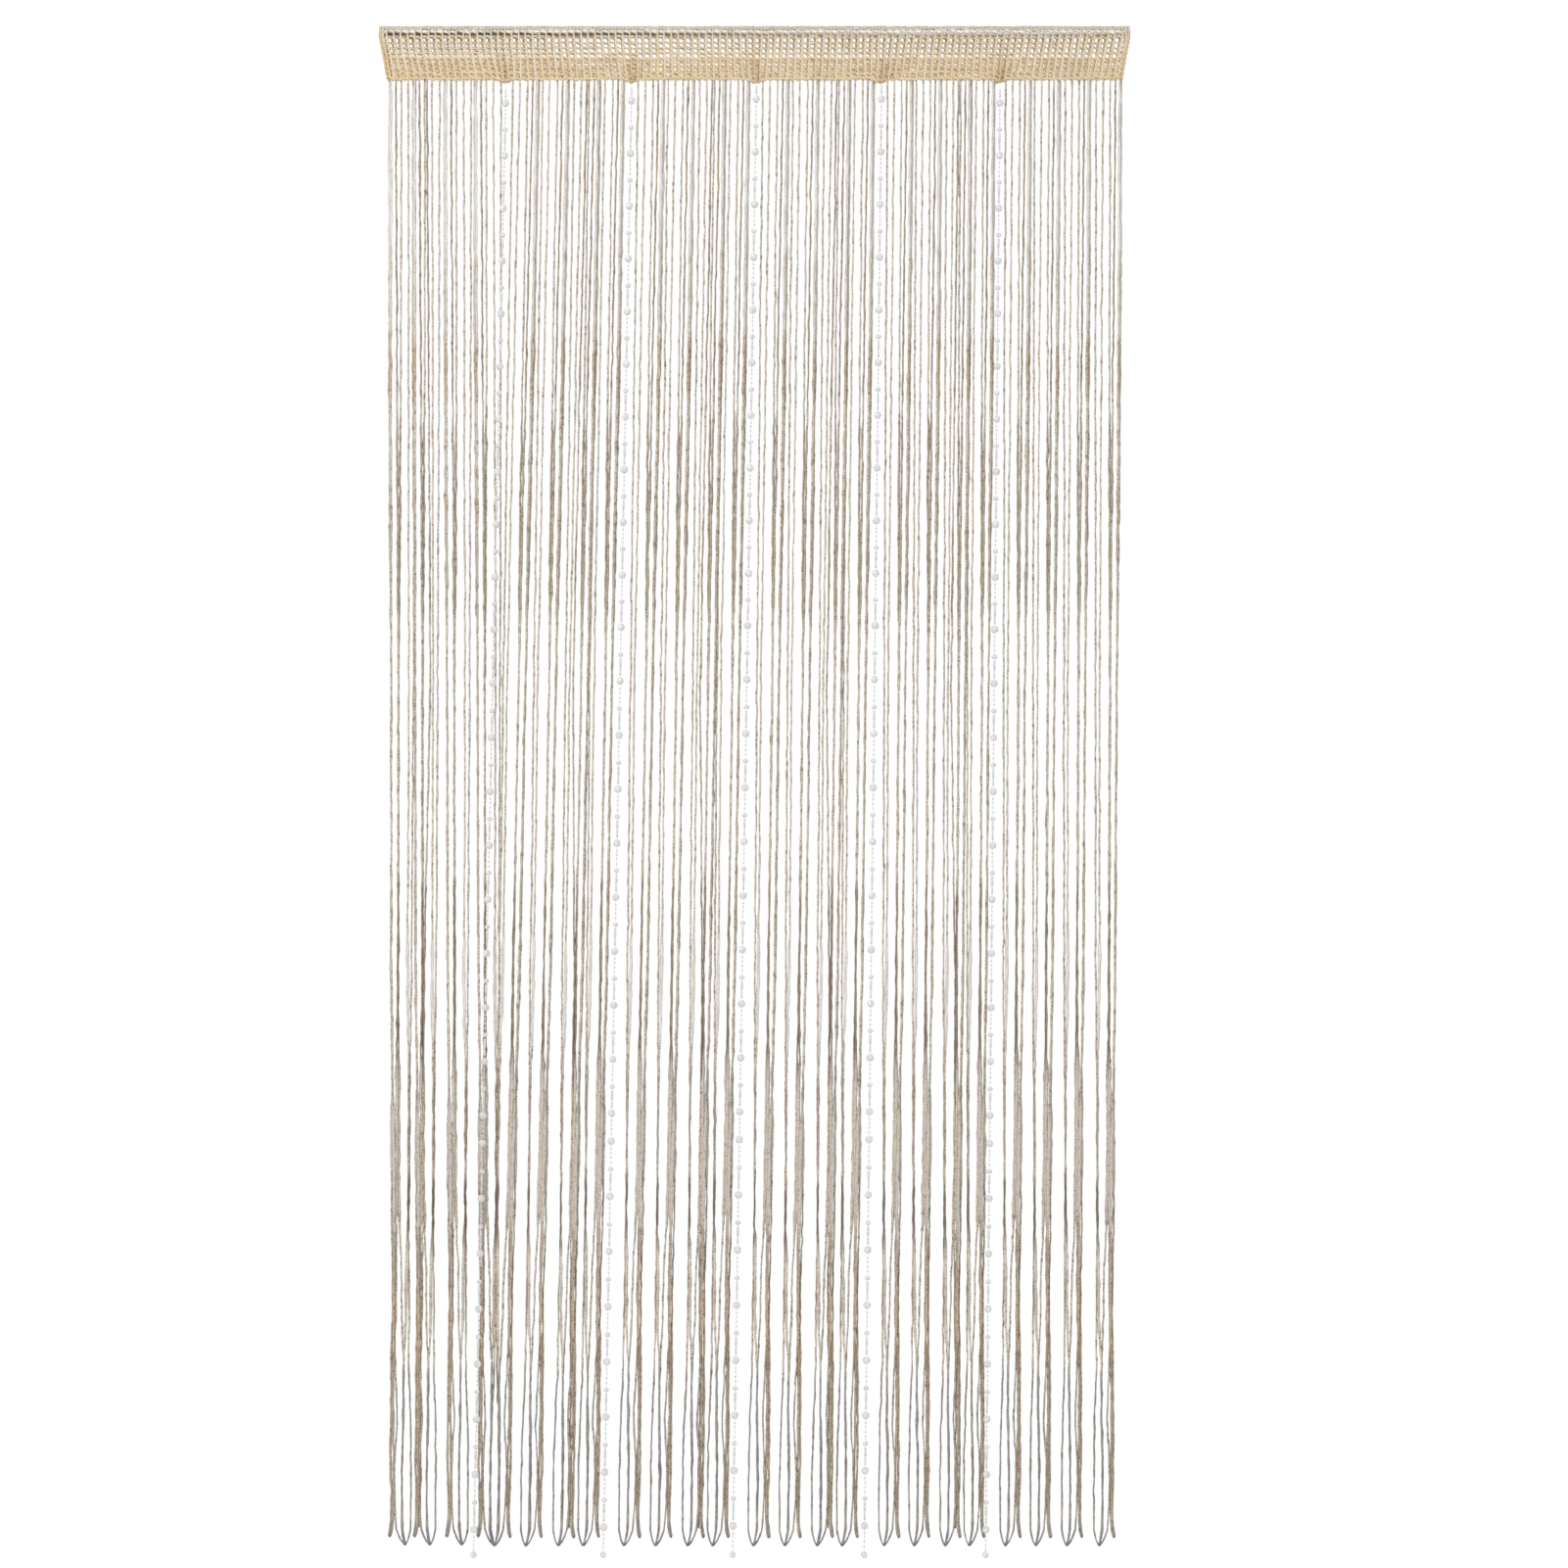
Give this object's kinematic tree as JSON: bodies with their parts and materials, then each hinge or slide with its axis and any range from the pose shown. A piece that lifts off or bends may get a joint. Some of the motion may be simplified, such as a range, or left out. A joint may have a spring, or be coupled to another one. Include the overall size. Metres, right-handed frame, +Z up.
{
  "type": "bead curtain on rod",
  "caption": "String curtain of looped yarn with strands of clear faceted beads, hanging from a crocheted heading on a plain round rod.",
  "frame": {"origin": "middle of the rod, on its axis", "axes": "+X along the rod, to the right of someone facing the curtain; +Y to the back, so the front looks along -Y; +Z up"},
  "size_m": [0.98, 0.0231, 1.9958],
  "materials": {
    "rod": "bright silver tube",
    "crochet": "golden beige openwork crochet",
    "yarn": "slubby twisted yarn, dyed grey, taupe, tan and olive gold along its length",
    "beads": "clear cut beads"
  },
  "bodies": {
    "root": {"rod": "rod", "heading": "crochet", "yarn_fringe": "yarn", "bead_strand_1": "beads", "bead_strand_2": "beads", "bead_strand_3": "beads", "bead_strand_4": "beads", "bead_strand_5": "beads"}
  },
  "joints": []
}
